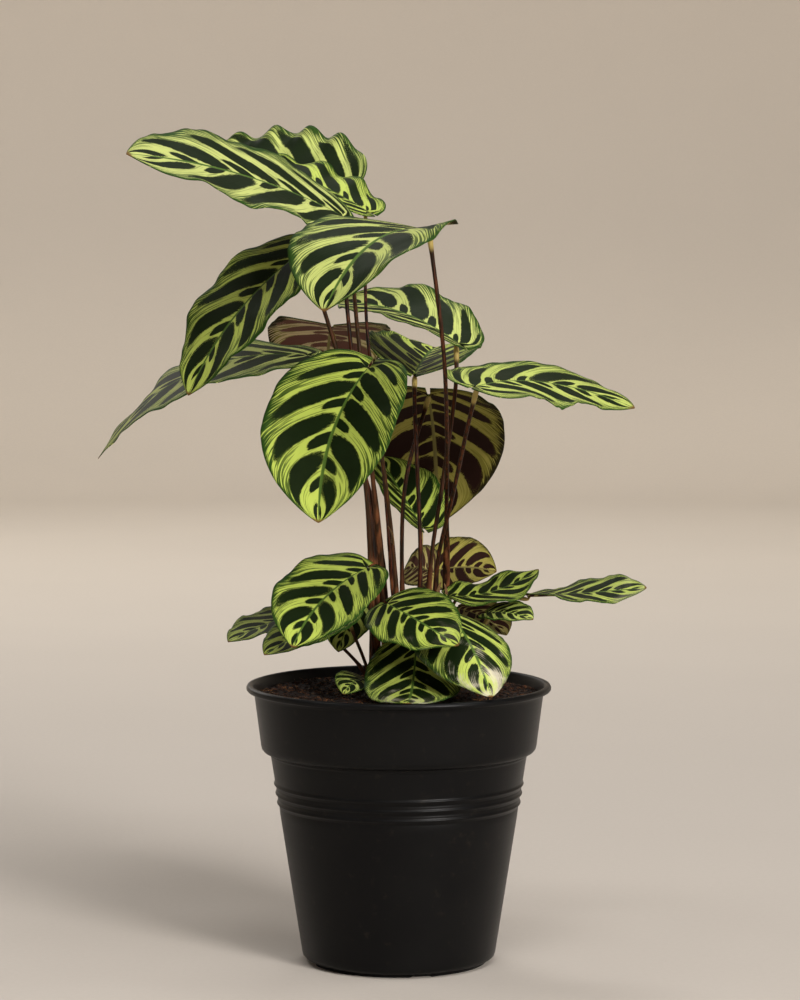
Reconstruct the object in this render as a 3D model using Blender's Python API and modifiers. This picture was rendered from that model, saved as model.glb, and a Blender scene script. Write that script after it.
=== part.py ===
# Potted peacock plant: a banded plastic pot, soil, seven leafy shoots and the blades that their stalks carry.
# World frame: the pot stands on z = 0 with its axis on +Z, and the photo was taken from -Y.
import math

import bmesh
import bpy
import numpy as np

MM = 0.001

# Pot, in millimetres: radius and height pairs, from the lip down the outer side, over the foot and up inside.
POT_STEPS = 40
POT_HEIGHT = 175.0
LIP_OUTER = [(93.2, POT_HEIGHT), (94.8, 174.3), (95.4, 172.8), (94.8, 171.2), (90.9, 170.5)]
BAND_OUTER = [(90.3, 167.0), (86.4, 137.0), (85.4, 134.4), (83.0, 133.0), (81.2, 132.6), (80.3, 131.0)]
FOOT_RADIUS = 60.8
FOOT_HEIGHT = 6.0
WALL_SLOPE = 0.1565
RIB_HEIGHTS = [112.5, 106.5, 100.5]
RIB_DEPTH = 0.9
RIB_HALF = 1.5
FOOT_OUTER = [(59.0, 3.0), (56.0, 1.8), (55.5, 0.0), (51.5, 0.0), (50.5, 1.5), (43.5, 1.5), (42.5, 0.0),
              (0.0, 0.0)]
POT_INNER = [(0.0, 3.0), (56.0, 3.0), (59.4, 7.0), (78.7, 131.0), (80.6, 134.2), (84.6, 136.8), (88.7, 167.0),
             (90.6, 171.5), (91.2, 174.2)]
DRAIN_COUNT = 4
DRAIN_ANGLE = -75.7
DRAIN_RADIUS = 47.0
DRAIN_HOLE = 3.0
NOTCH_WIDTH = 11.0
NOTCH_HEIGHT = 1.2

# Soil, in millimetres.
SOIL_GAP = 0.35
SOIL_EDGE = 169.2
SOIL_RISE = 0.9
SOIL_BOTTOM = 3.4
HOLE_RADIUS = 5.3
HOLE_DEPTH = 26.0

# Shoots, in millimetres: the rough sheath that stands in the soil and the stalks that it lets out.
SHEATH_RADIUS = 4.8
SHEATH_SINK = 25.6
SHEATH_RISE = 12.0
STALK_BASE = 2.3
STALK_RADIUS = 1.4
STALK_KNEE = 1.7
STALK_STEPS = 15

# All blades, in millimetres: thickness, and the midrib that stands out below.
BLADE_THICK = 0.8
RIB_WIDTH = 1.2
RIB_DROP = 1.0
SEAT_GAP = 0.3


def leaf(base, tip, width, bow=0, sway=0, roll=0, twist=0, fold=(5, 5), cup=0,
         wave=(1, 1), waves=3.0, start=(0, 0.5), lobe=0.08, seat=0.9, pinch=0):
    """One blade, in millimetres and degrees: where its midrib begins and ends, its width, and how it bends.

    bow is how far the middle of the midrib stands above the straight line from base to tip, and sway how
    far it stands to the left of it. roll tilts the blade about its midrib at the base, and twist is how much
    more at the tip. fold lifts the left and the right half, and cup curls them up. wave is the height of the
    margin's waves. lobe is how far the base reaches back past its stalk, seat is how steeply the stalk comes
    in from below, and pinch is how much narrower the left half starts.
    """
    straight = np.linalg.norm(np.subtract(tip, base))
    length = straight * (1 + 8 / 3 * (bow ** 2 + sway ** 2) / straight ** 2)
    return dict(base=base, tip=tip, width=width, bow=bow, sway=sway, roll=roll, twist=twist, fold=fold,
                cup=cup, wave=wave, waves=waves, start=start, lobe=lobe, seat=seat, pinch=pinch,
                length=length)


# Each blade's places and measures were read off the photo by eye. What it hides, mostly depth, is chosen so
# that every blade keeps the shape of its kind: about 1.5 times as long as wide.
LEAVES = {
    "leaf_top_left": leaf((-35, 6, 467), (-164, -60, 504), 110, bow=7, roll=-23, fold=(0, 5),
                          wave=(2.5, 1.5)),
    "leaf_top_back": leaf((-35, 96, 486), (-138, 148, 508), 80, bow=2, roll=-34, twist=20, fold=(4, 15),
                          wave=(0.5, 3.6), waves=5.0, start=(0, 0.2)),
    "leaf_top_inner": leaf((-20, 58, 470), (-94, 93, 505), 58, bow=2, roll=-8, fold=(5, 8), wave=(0.5, 3),
                           waves=3.5, start=(0, 0.2)),
    "leaf_top_front": leaf((19, -70, 458), (-43, -160, 412), 107, bow=17, roll=-7, twist=6, fold=(14, 3),
                           wave=(2, 1), lobe=0.03, pinch=0.88),
    "leaf_high_left": leaf((-58, -25, 446), (-128, -50, 358), 76, bow=8, roll=-15, fold=(2, 10),
                           wave=(1.5, 2)),
    "leaf_mid_left": leaf((-59, 45, 379), (-191, 45, 313), 100, bow=22, sway=4, roll=-11, fold=(0, -3),
                          wave=(1, 2)),
    "leaf_mid_front": leaf((-19, -32, 374), (-48, -92, 284), 86, bow=8, sway=-5, roll=-12, twist=12,
                           fold=(13, 16), wave=(1, 1)),
    "leaf_high_right": leaf((37, 4, 388), (-38, 80, 411), 64, bow=7, roll=3, twist=-28, fold=(13, 13),
                            wave=(1, 2)),
    "leaf_mid_back": leaf((10, 24, 368), (24, 140, 380), 76, bow=2, roll=2, fold=(24, 17), wave=(1, 1)),
    "leaf_mid_right": leaf((47, -56, 364), (145, -26, 349), 80, bow=8, sway=18, roll=8, fold=(6, -9),
                           wave=(2, 3), waves=1.7, start=(0.35, 0.03), lobe=0.06),
    "leaf_rear": leaf((19, 46, 354), (26, 128, 264), 90, bow=13, roll=4, fold=(4, 4)),
    "leaf_rear_left": leaf((-44, 104, 395), (-49, 186, 347), 80, bow=9, roll=3, fold=(9, 9),
                           wave=(1.5, 0.5)),
    "leaf_centre": leaf((15, 25, 271), (-13, 82, 312), 50, bow=0, roll=4, fold=(26, 24), wave=(1, 1)),
    "leaf_low_front_left": leaf((-20, -22, 250), (-64, -76, 207), 61, bow=4, sway=-5, roll=-14, fold=(5, 12),
                                wave=(0.5, 1.5)),
    "leaf_low_left": leaf((-56, 26, 218), (-106, -15, 203), 45, bow=2, roll=-3, fold=(2, 4)),
    "leaf_low_left_inner": leaf((-33, -14, 223), (-82, -56, 200), 46, bow=1, roll=-6, fold=(1, 4),
                                wave=(0.5, 0.5)),
    "leaf_low_inner": leaf((-24, 36, 226), (-38, 7, 194), 31, bow=2, roll=-6, wave=(0.5, 0.5)),
    "leaf_low_front": leaf((-7, -24, 228), (36, -74, 208), 50, bow=2, sway=-3, roll=20, fold=(9, -8),
                           wave=(0.5, 1.5)),
    "leaf_low_front_right": leaf((28, -11, 222), (56, -79, 177), 62, bow=9, sway=-1, roll=4, fold=(-15, -14),
                                 cup=-14, wave=(0.5, 0.5), lobe=0.02),
    "leaf_low_hanging": leaf((11, -20, 206), (5, -83, 174), 59, bow=-11, fold=(-2, -4), wave=(0.5, 0.5),
                             lobe=0.02),
    "leaf_soil_left": leaf((-21, -15, 180), (-34, -43, 174), 23, bow=3, roll=-10, fold=(0, 12),
                           wave=(0.2, 0.2)),
    "leaf_low_far_right": leaf((82, 46, 226), (157, 31, 232), 52, bow=-1, roll=-8, twist=36, fold=(4, 4),
                               wave=(1, 1), lobe=0.03, seat=0.5),
    "leaf_low_right": leaf((32, -8, 231), (88, 18, 245), 42, bow=-5, roll=5, fold=(7, -6), wave=(2.5, 1.5),
                           waves=2.0, start=(0.75, 0.6), lobe=0.04),
    "leaf_low_back_right": leaf((19, 70, 239), (64, 112, 234), 38, bow=3, roll=-60, fold=(6, 22),
                                wave=(0.5, 0.5)),
    "leaf_low_right_inner": leaf((37, 22, 221), (69, 54, 199), 33, bow=3, roll=-22, fold=(8, 5),
                                 wave=(0.5, 0.5), lobe=0.02),
    "leaf_low_right_small": leaf((55, -2, 220), (83, -24, 218), 25, bow=2, roll=16, fold=(9, 2),
                                 wave=(0.5, 0.5)),
    "leaf_low_middle": leaf((21, 52, 239), (3, 20, 243), 27, bow=4, roll=60, fold=(16, 6),
                            wave=(0.2, 0.2)),
}

# Each shoot: its place in the soil, and for each stalk how far its foot stands from that place and the points
# that it passes on its way to its blade.
SHOOTS = {
    "shoot_left": ((-15, -6), {
        "leaf_high_left": ((-1.5, 1), [(-17, -8, 240), (-25, -14, 330)]),
        "leaf_top_left": ((1.5, 0.5), [(-14, -7, 240), (-21, -9, 310), (-31, -9, 400)]),
        "leaf_low_front_left": ((0, -2), []),
        "leaf_low_left_inner": ((-1, -1), []),
        "leaf_low_left": ((-0.5, 0.5), []),
    }),
    "shoot_back_left": ((-7, 20), {
        "leaf_top_back": ((1, -1), [(-10, 15, 240), (-17, 5, 310), (-26, -1, 400)]),
        "leaf_mid_left": ((-1, -1), [(-12, 18, 240), (-20, 14, 300)]),
        "leaf_rear_left": ((-1.5, 1), [(-10, 21, 240), (-18, 26, 310)]),
        "leaf_low_inner": ((0, 2), []),
    }),
    "shoot_front": ((-1, -9), {
        "leaf_mid_front": ((0, 1), [(-2, -9, 240), (-8, -14, 300)]),
        "leaf_low_front": ((0, -2), []),
        "leaf_soil_left": ((0, -0.5), [(-2, -10, 175), (-11, -14, 174)]),
    }),
    "shoot_back": ((2, 10), {
        "leaf_top_inner": ((-1.5, 0), [(-4, 9, 240), (-10, 8, 310), (-20, 6, 400)]),
        "leaf_rear": ((1, 0), [(2, 8, 267), (5, 12, 305)]),
        "leaf_low_middle": ((0.5, 1), []),
    }),
    "shoot_middle": ((14, -4), {
        "leaf_mid_back": ((-1.5, 0), [(13.5, -4, 250), (12, -2, 300), (10, 6, 345)]),
        "leaf_high_right": ((1, 1), [(20, -4, 251), (27, -4, 300), (35, -3, 358)]),
        "leaf_centre": ((0, 2), []),
        "leaf_low_hanging": ((-1, -2), []),
    }),
    "shoot_right": ((26.5, 1), {
        "leaf_mid_right": ((-2, 0), [(23.5, 0, 244), (33, -18, 293)]),
        "leaf_low_front_right": ((0, -2), []),
        "leaf_low_right": ((1.5, 0), [(28, 0, 217)]),
    }),
    "shoot_back_right": ((30, 15), {
        "leaf_top_front": ((0.5, -1), [(30, 16, 245), (28, -62, 371)]),
        "leaf_low_far_right": ((1.5, 0.5), [(32, 16, 216), (42, 21, 231), (62, 34, 228)]),
        "leaf_low_back_right": ((-1, 1.5), []),
        "leaf_low_right_inner": ((1, 1.5), []),
        "leaf_low_right_small": ((1.5, -1.5), []),
    }),
}


def outline(u):
    """Half width along the blade as a share of the widest: round at the base, pointed at the tip."""
    swell = 1 - np.abs(2 * np.clip(u, 0, 1) ** 0.75 - 1) ** 2.2
    return np.clip(swell, 0, None) ** (0.5 + 0.35 * u)


def midrib(m, shares):
    """Points of the midrib and the three directions there: along, to the left, and out of the upper face.

    The midrib is a parabola: the straight line from base to tip, plus 4 u (1 - u) times its bow and its sway.
    """
    base = np.array(m["base"], float)
    chord = np.array(m["tip"], float) - base
    level = np.array([-chord[1], chord[0], 0]) / math.hypot(chord[0], chord[1])
    above = np.cross(chord, level) / np.linalg.norm(chord)
    arch = above * m["bow"] + level * m["sway"]
    u = np.asarray(shares, float)[:, None]
    line = base + chord * u + arch * 4 * u * (1 - u)
    along = chord + arch * 4 * (1 - 2 * u)
    along = along / np.linalg.norm(along, axis=1)[:, None]
    flat = np.stack([-along[:, 1], along[:, 0], 0 * along[:, 0]], -1)
    flat = flat / np.linalg.norm(flat, axis=1)[:, None]
    over = np.cross(along, flat)
    roll = np.radians(m["roll"] + m["twist"] * u)
    left = np.cos(roll) * flat + np.sin(roll) * over
    return line, along, left, np.cross(along, left)


def blade_rows(m, shares, columns):
    """The blade's middle surface: one row of points across it for each share of its length.

    columns run from -1 at the right margin to 1 at the left one. The inner pair are the midrib's edges.
    """
    line, along, left, up = midrib(m, shares)
    widest = m["width"] / 2
    rib = (RIB_WIDTH * (1 - 0.7 * shares))[:, None]
    pick = columns[None, :] > 0
    slim = 1 - m["pinch"] * ((1 - shares) ** 5)[:, None] * pick
    half = widest * outline(shares)[:, None] * slim + rib + 0.3
    side = np.sign(columns)[None, :]
    across = np.abs(columns)[None, :] * np.ones_like(half)
    out = rib + (half - rib) * across
    fold = np.radians(np.where(pick, m["fold"][0], m["fold"][1]))
    lift = fold + np.radians(m["cup"]) * across / 2
    wave_left = m["wave"][0] * np.sin(2 * np.pi * (m["waves"] * shares + m["start"][0]))
    wave_right = m["wave"][1] * np.sin(2 * np.pi * (m["waves"] * shares + m["start"][1]))
    wave = np.where(pick, wave_left[:, None], wave_right[:, None]) * across ** 2
    wave = wave * np.minimum(1, 6 * (1 - shares))[:, None] * np.minimum(1, 8 * shares)[:, None]
    x = side * (rib + (out - rib) * np.cos(lift))
    z = (out - rib) * np.sin(lift) + wave
    back = m["lobe"] * m["length"] * ((1 - shares) ** 6)[:, None] * across
    return (line[:, None] + left[:, None] * x[..., None] + up[:, None] * z[..., None]
            - along[:, None] * back[..., None])


def blade_grid(m):
    """Row shares and columns that suit a blade's size and its waves."""
    large = m["length"] > 95
    count = max(12 if large else 8, round(4 * m["waves"]) if m["waves"] > 3 else 0)
    even = np.linspace(0, 1, count + 1)
    shares = 0.55 * even + 0.45 * (1 - np.cos(np.pi * even)) / 2
    if large:
        half = np.array([1e-6, 0.36, 0.7, 1.0])
    else:
        half = np.array([1e-6, 0.5, 1.0])
    return shares, np.concatenate([-half[::-1], half])


def smooth_line(points, start_way, end_way, shares):
    """Smooth curve through points that leaves along start_way and arrives along end_way (Hermite cubics)."""
    points = np.array(points, float)
    knots = np.concatenate([[0], np.cumsum(np.linalg.norm(np.diff(points, axis=0), axis=1))])
    ways = np.empty_like(points)
    ways[0] = start_way
    ways[-1] = end_way
    ways[1:-1] = (points[2:] - points[:-2]) / (knots[2:] - knots[:-2])[:, None]
    at = shares * knots[-1]
    k = np.clip(np.searchsorted(knots, at, side="right") - 1, 0, len(points) - 2)
    span = (knots[k + 1] - knots[k])[:, None]
    t = (at - knots[k])[:, None] / span
    return ((2 * t ** 3 - 3 * t ** 2 + 1) * points[k] + (t ** 3 - 2 * t ** 2 + t) * span * ways[k]
            + (3 * t ** 2 - 2 * t ** 3) * points[k + 1] + (t ** 3 - t ** 2) * span * ways[k + 1])


def stalk_path(place, foot, stops, m, shares):
    """Centre line of a stalk, from its foot in the soil to just under the blade's midrib, and its radii.

    It leaves the soil nearly upright, passes its stops, and meets the blade from below and behind.
    """
    line, along, left, up = midrib(m, np.array([0.0]))
    arrive = (1.4 - m["seat"]) * along[0] + m["seat"] * up[0] + np.array([0, 0, 0.2 * m["seat"]])
    arrive = arrive / np.linalg.norm(arrive)
    slope = float(arrive @ up[0])
    edge = STALK_KNEE * math.sqrt(max(0.0, 1 - slope ** 2))
    depth = BLADE_THICK / 2 + RIB_DROP + SEAT_GAP + edge
    end = line[0] + along[0] * 1.2 - up[0] * depth
    root = np.array([place[0] + foot[0], place[1] + foot[1], SOIL_EDGE - 4])
    upright = np.array([0.1 * (end[0] - root[0]), 0.1 * (end[1] - root[1]), end[2] - root[2]])
    upright = upright / np.linalg.norm(upright)
    path = smooth_line([root] + list(stops) + [end], upright, arrive, shares)
    reach = np.linalg.norm(end - root)
    sleeve = STALK_RADIUS + (STALK_BASE - STALK_RADIUS) * np.clip(1 - shares / 0.35, 0, 1)
    left_over = (1 - shares) * reach
    knee = STALK_RADIUS + (STALK_KNEE - STALK_RADIUS) * np.clip((14 - left_over) / 4, 0, 1)
    return path, np.maximum(sleeve, knee)


# The scene starts empty.
for old in list(bpy.data.objects):
    bpy.data.objects.remove(old)


def new_collection(name):
    made = bpy.data.collections.new(name)
    bpy.context.scene.collection.children.link(made)
    return made


PLANT = new_collection("potted_peacock_plant")
CUTTERS = new_collection("cutters")


def material(name, colour, roughness, metallic=0.0):
    made = bpy.data.materials.new(name)
    made.use_nodes = True
    shader = made.node_tree.nodes["Principled BSDF"]
    shader.inputs["Base Color"].default_value = (*colour, 1.0)
    shader.inputs["Roughness"].default_value = roughness
    shader.inputs["Metallic"].default_value = metallic
    made.diffuse_color = (*colour, 1.0)
    return made


POT_PLASTIC = material("pot_plastic", (0.012, 0.012, 0.013), 0.42)
PEAT = material("peat", (0.045, 0.026, 0.015), 0.95)
STALK_SKIN = material("stalk_skin", (0.16, 0.055, 0.022), 0.55)


def leaf_material(name):
    return material(name + "_green", (0.09, 0.2, 0.035), 0.4)


def mesh_object(name, points, faces, skin, home):
    data = bpy.data.meshes.new(name)
    data.from_pydata([tuple(p) for p in np.asarray(points) * MM], [], faces)
    data.validate()
    data.update()
    made = bpy.data.objects.new(name, data)
    made.data.materials.append(skin)
    home.objects.link(made)
    return made


def turned(name, outline_points, steps, skin, home):
    """Solid of revolution: a closed outline in the plane y = 0 turned about +Z by a Screw modifier."""
    points = [(radius, 0.0, height) for radius, height in outline_points]
    edges = [(i, i + 1) for i in range(len(points) - 1)]
    data = bpy.data.meshes.new(name)
    data.from_pydata([tuple(c * MM for c in p) for p in points], edges, [])
    made = bpy.data.objects.new(name, data)
    made.data.materials.append(skin)
    home.objects.link(made)
    screw = made.modifiers.new("turn", "SCREW")
    screw.steps = steps
    screw.render_steps = steps
    screw.use_merge_vertices = True
    screw.merge_threshold = 0.00005
    screw.use_smooth_shade = False
    return made


def cylinder(name, centre, radius, low, high, sides, skin, home):
    bpy.ops.mesh.primitive_cylinder_add(vertices=sides, radius=radius * MM, depth=(high - low) * MM,
                                        location=(centre[0] * MM, centre[1] * MM, (high + low) / 2 * MM))
    made = bpy.context.object
    made.name = name
    for owner in list(made.users_collection):
        owner.objects.unlink(made)
    made.data.materials.append(skin)
    home.objects.link(made)
    return made


def hide_cutter(cutter):
    cutter.hide_render = True
    cutter.display_type = "WIRE"


def cut(body, tools):
    """Takes each tool's shape out of the body, after which the tool is gone."""
    for tool in tools:
        hide_cutter(tool)
        step = body.modifiers.new("cut_" + tool.name, "BOOLEAN")
        step.operation = "DIFFERENCE"
        step.solver = "EXACT"
        step.object = tool
    apply_all(body)
    for tool in tools:
        bpy.data.objects.remove(tool)


def apply_all(body):
    """Replaces the object's mesh by its evaluated one, so that no modifier stays."""
    graph = bpy.context.evaluated_depsgraph_get()
    done = bpy.data.meshes.new_from_object(body.evaluated_get(graph), depsgraph=graph)
    body.modifiers.clear()
    old = body.data
    body.data = done
    bpy.data.meshes.remove(old)


def wall_radius(height):
    return FOOT_RADIUS + (height - FOOT_HEIGHT) * WALL_SLOPE


def pot_outline():
    """The pot's closed outline, starting at the lip's top and running down the outer side."""
    points = list(LIP_OUTER) + list(BAND_OUTER)
    for height in RIB_HEIGHTS:
        points.append((wall_radius(height + RIB_HALF), height + RIB_HALF))
        points.append((wall_radius(height) + RIB_DEPTH, height))
        points.append((wall_radius(height - RIB_HALF), height - RIB_HALF))
    points.append((FOOT_RADIUS, FOOT_HEIGHT))
    points += list(FOOT_OUTER)
    return points, list(POT_INNER)


def make_pot():
    outer, inner = pot_outline()
    pot = turned("pot", outer + inner + [outer[0]], POT_STEPS, POT_PLASTIC, PLANT)
    apply_all(pot)
    tools = []
    for i in range(DRAIN_COUNT):
        angle = math.radians(DRAIN_ANGLE + 360 / DRAIN_COUNT * i)
        way = (math.cos(angle), math.sin(angle))
        tools.append(cylinder("drain_%d" % i, (way[0] * DRAIN_RADIUS, way[1] * DRAIN_RADIUS), DRAIN_HOLE,
                              -1, 4, 12, POT_PLASTIC, CUTTERS))
        bpy.ops.mesh.primitive_cube_add(size=1, location=(way[0] * 54 * MM, way[1] * 54 * MM, 0),
                                        rotation=(0, 0, angle))
        notch = bpy.context.object
        notch.name = "notch_%d" % i
        notch.scale = (8 * MM, NOTCH_WIDTH * MM, 2 * NOTCH_HEIGHT * MM)
        for owner in list(notch.users_collection):
            owner.objects.unlink(notch)
        CUTTERS.objects.link(notch)
        tools.append(notch)
    cut(pot, tools)
    return pot


def make_soil():
    """A plug that fills the pot to just under the rim, with one plain hole for each shoot."""
    side = [(SOIL_EDGE, None)] + [(z, r) for r, z in reversed(POT_INNER) if SOIL_BOTTOM + 2 < z < SOIL_EDGE]
    inner_heights = [z for r, z in POT_INNER]
    inner_radii = [r for r, z in POT_INNER]
    points = [(0.0, SOIL_EDGE + SOIL_RISE), (40.0, SOIL_EDGE + 0.7 * SOIL_RISE),
              (70.0, SOIL_EDGE + 0.2 * SOIL_RISE)]
    for height, radius in side:
        if radius is None:
            radius = float(np.interp(height, inner_heights, inner_radii))
        points.append((radius - SOIL_GAP, height))
    points.append((55.4, SOIL_BOTTOM))
    points.append((0.0, SOIL_BOTTOM))
    soil = turned("soil", points, POT_STEPS, PEAT, PLANT)
    apply_all(soil)
    tools = [cylinder("hole_" + name, place, HOLE_RADIUS, SOIL_EDGE - HOLE_DEPTH, SOIL_EDGE + 5, 14, PEAT,
                      CUTTERS) for name, (place, stalks) in SHOOTS.items()]
    cut(soil, tools)
    return soil


def tube(name, path, radii, skin, home):
    """A stalk: a six-sided curve with a bevel, turned into a mesh with its caps welded."""
    curve = bpy.data.curves.new(name, "CURVE")
    curve.dimensions = "3D"
    curve.bevel_depth = 1.0 * MM
    curve.bevel_resolution = 1
    curve.use_fill_caps = True
    line = curve.splines.new("POLY")
    line.points.add(len(path) - 1)
    for point, spot, radius in zip(line.points, path, radii):
        point.co = (spot[0] * MM, spot[1] * MM, spot[2] * MM, 1.0)
        point.radius = float(radius)
    holder = bpy.data.objects.new(name + "_curve", curve)
    home.objects.link(holder)
    graph = bpy.context.evaluated_depsgraph_get()
    data = bpy.data.meshes.new_from_object(holder.evaluated_get(graph), depsgraph=graph)
    made = bpy.data.objects.new(name, data)
    made.matrix_world = holder.matrix_world
    home.objects.link(made)
    bpy.data.objects.remove(holder)
    work = bmesh.new()
    work.from_mesh(data)
    bmesh.ops.remove_doubles(work, verts=work.verts, dist=0.00001)
    bmesh.ops.recalc_face_normals(work, faces=work.faces)
    work.to_mesh(data)
    work.free()
    data.materials.clear()
    data.materials.append(skin)
    return made


def make_shoot(name, place, stalks):
    """One shoot: the sheath in the soil and its stalks, joined into one body."""
    low = SOIL_EDGE - SHEATH_SINK
    shoot = cylinder(name, place, SHEATH_RADIUS, low, SOIL_EDGE + SHEATH_RISE, 12, STALK_SKIN, PLANT)
    repeats = new_collection(name + "_stalks")
    for leaf_name, (foot, stops) in stalks.items():
        steps = STALK_STEPS if len(stops) > 1 else STALK_STEPS // 2
        shares = np.sort(np.append(np.linspace(0, 1, steps), 1 - 0.25 / steps))
        path, radii = stalk_path(place, foot, stops, LEAVES[leaf_name], shares)
        stalk = tube(name + "_" + leaf_name, path, radii, STALK_SKIN, repeats)
        hide_cutter(stalk)
    join = shoot.modifiers.new("stalks", "BOOLEAN")
    join.operation = "UNION"
    join.solver = "EXACT"
    join.operand_type = "COLLECTION"
    join.collection = repeats
    apply_all(shoot)
    for stalk in list(repeats.objects):
        bpy.data.objects.remove(stalk)
    bpy.data.collections.remove(repeats)
    return shoot


def make_blade(name, m):
    """One blade: its middle surface moved out to both faces and closed around the margin.

    Both faces are split along the same diagonals, and the midrib stands out of the lower face.
    """
    shares, columns = blade_grid(m)
    middle = blade_rows(m, shares, columns)
    rows, across = middle.shape[:2]
    index = np.arange(rows * across).reshape(rows, across)
    a, b, c, d = index[:-1, :-1], index[1:, :-1], index[1:, 1:], index[:-1, 1:]
    lower_half = np.zeros(a.shape, bool)
    lower_half[:, :a.shape[1] // 2] = True
    split_one = np.stack([np.stack([a, b, c], -1), np.stack([a, c, d], -1)], 2)
    split_two = np.stack([np.stack([a, b, d], -1), np.stack([b, c, d], -1)], 2)
    faces = np.where(lower_half[..., None, None], split_one, split_two).reshape(-1, 3)
    flat = middle.reshape(-1, 3)
    cross = np.cross(flat[faces[:, 1]] - flat[faces[:, 0]], flat[faces[:, 2]] - flat[faces[:, 0]])
    way = np.zeros_like(flat)
    for corner in range(3):
        np.add.at(way, faces[:, corner], cross)
    way /= np.linalg.norm(way, axis=1)[:, None]
    up = midrib(m, shares)[3].repeat(across, axis=0)
    way = np.where((np.sum(way * up, 1) < 0)[:, None], -way, way)
    drop = np.zeros((rows, across))
    centre = across // 2
    drop[:, centre - 1:centre + 1] = (RIB_DROP * (1 - shares) ** 0.7)[:, None]
    top = flat + way * BLADE_THICK / 2
    under = flat - way * (BLADE_THICK / 2 + drop.reshape(-1, 1))
    total = len(flat)
    first = cross[0] @ up[0]
    upper_faces = faces if first > 0 else faces[:, ::-1]
    edge = np.concatenate([index[0, :], index[1:, -1], index[-1, -2::-1], index[-2:0:-1, 0]])
    after = np.roll(edge, -1)
    if first > 0:
        edge, after = after, edge
    walls = np.concatenate([np.stack([edge, after, after + total], -1),
                            np.stack([edge, after + total, edge + total], -1)])
    every = np.concatenate([upper_faces, upper_faces[:, ::-1] + total, walls])
    blade = mesh_object(name, np.vstack([top, under]), [tuple(int(v) for v in f) for f in every],
                        leaf_material(name), PLANT)
    work = bmesh.new()
    work.from_mesh(blade.data)
    bmesh.ops.recalc_face_normals(work, faces=work.faces)
    work.to_mesh(blade.data)
    work.free()
    return blade


make_pot()
make_soil()
for shoot_name, (shoot_place, shoot_stalks) in SHOOTS.items():
    make_shoot(shoot_name, shoot_place, shoot_stalks)
for leaf_name, leaf_measures in LEAVES.items():
    make_blade(leaf_name, leaf_measures)
for spare in list(CUTTERS.objects):
    bpy.data.objects.remove(spare)
bpy.data.collections.remove(CUTTERS)
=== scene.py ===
# Potted peacock plant: fine blades, stalks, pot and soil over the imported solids.
# Lengths are in millimetres and angles in degrees until they reach a mesh.
import math

import bpy
import numpy as np
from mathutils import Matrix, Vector


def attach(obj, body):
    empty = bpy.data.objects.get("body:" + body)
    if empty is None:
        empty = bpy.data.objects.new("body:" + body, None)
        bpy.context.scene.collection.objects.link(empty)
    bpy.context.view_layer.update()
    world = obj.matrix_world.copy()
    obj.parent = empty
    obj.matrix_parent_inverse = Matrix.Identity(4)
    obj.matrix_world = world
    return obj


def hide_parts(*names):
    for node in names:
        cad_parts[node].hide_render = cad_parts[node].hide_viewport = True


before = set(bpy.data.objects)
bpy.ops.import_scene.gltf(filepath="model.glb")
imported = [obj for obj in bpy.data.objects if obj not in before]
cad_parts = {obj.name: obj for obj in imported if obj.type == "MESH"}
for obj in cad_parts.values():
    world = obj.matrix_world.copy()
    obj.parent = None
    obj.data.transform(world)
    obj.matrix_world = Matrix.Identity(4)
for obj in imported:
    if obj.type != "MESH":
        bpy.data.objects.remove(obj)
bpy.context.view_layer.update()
mm = 0.001


# shader nodes: the helpers work on the tree of the last new material, and return the socket that they make
def newMaterial(name):
    global tree
    made = bpy.data.materials.new(name)
    made.use_nodes = True
    tree = made.node_tree
    tree.nodes.clear()
    shader = newNode("BsdfPrincipled")
    plug(shader.outputs["BSDF"], newNode("OutputMaterial").inputs["Surface"])
    return made, shader


def newNode(kind):
    return tree.nodes.new("ShaderNode" + kind)


def plug(value, socket):
    if isinstance(value, bpy.types.NodeSocket):
        tree.links.new(value, socket)
    else:
        socket.default_value = value


def calc(kind, a, b=None, c=None):
    node = newNode("Math")
    node.operation = kind
    for value, socket in zip((a, b, c), node.inputs):
        if value is not None:
            plug(value, socket)
    return node.outputs[0]


def mulAdd(a, b, c):
    # a * b + c
    return calc("MULTIPLY_ADD", a, b, c)


def product(*values):
    total = values[0]
    for value in values[1:]:
        total = calc("MULTIPLY", total, value)
    return total


def smoothStep(value, low, high, outLow=0.0, outHigh=1.0):
    node = newNode("MapRange")
    node.interpolation_type = "SMOOTHSTEP"
    for socket, number in zip(node.inputs, (value, low, high, outLow, outHigh)):
        plug(number, socket)
    return node.outputs[0]


def blend(share, first, second):
    node = newNode("Mix")
    node.data_type = "RGBA"
    plug(share, node.inputs[0])
    for value, socket in ((first, node.inputs[6]), (second, node.inputs[7])):
        plug(value if isinstance(value, bpy.types.NodeSocket) else (*value, 1.0), socket)
    return node.outputs[2]


def parts(value):
    split = newNode("SeparateXYZ")
    plug(value, split.inputs[0])
    return split.outputs


def vector(*values):
    made = newNode("CombineXYZ")
    for value, socket in zip(values, made.inputs):
        plug(value, socket)
    return made.outputs[0]


def noise(where, scale, detail=3.0):
    node = newNode("TexNoise")
    plug(where, node.inputs["Vector"])
    node.inputs["Scale"].default_value = scale
    node.inputs["Detail"].default_value = detail
    return node.outputs[0]


def coords(stretch=(1.0, 1.0, 1.0)):
    node = newNode("TexCoord")
    turn = newNode("Mapping")
    turn.inputs["Scale"].default_value = stretch
    plug(node.outputs["Object"], turn.inputs["Vector"])
    return turn.outputs[0]


def attribute(name):
    # the red, green, blue and alpha of a colour attribute
    node = newNode("Attribute")
    node.attribute_name = name
    split = newNode("SeparateColor")
    plug(node.outputs["Color"], split.inputs[0])
    return split.outputs[0], split.outputs[1], split.outputs[2], node.outputs["Alpha"]


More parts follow.
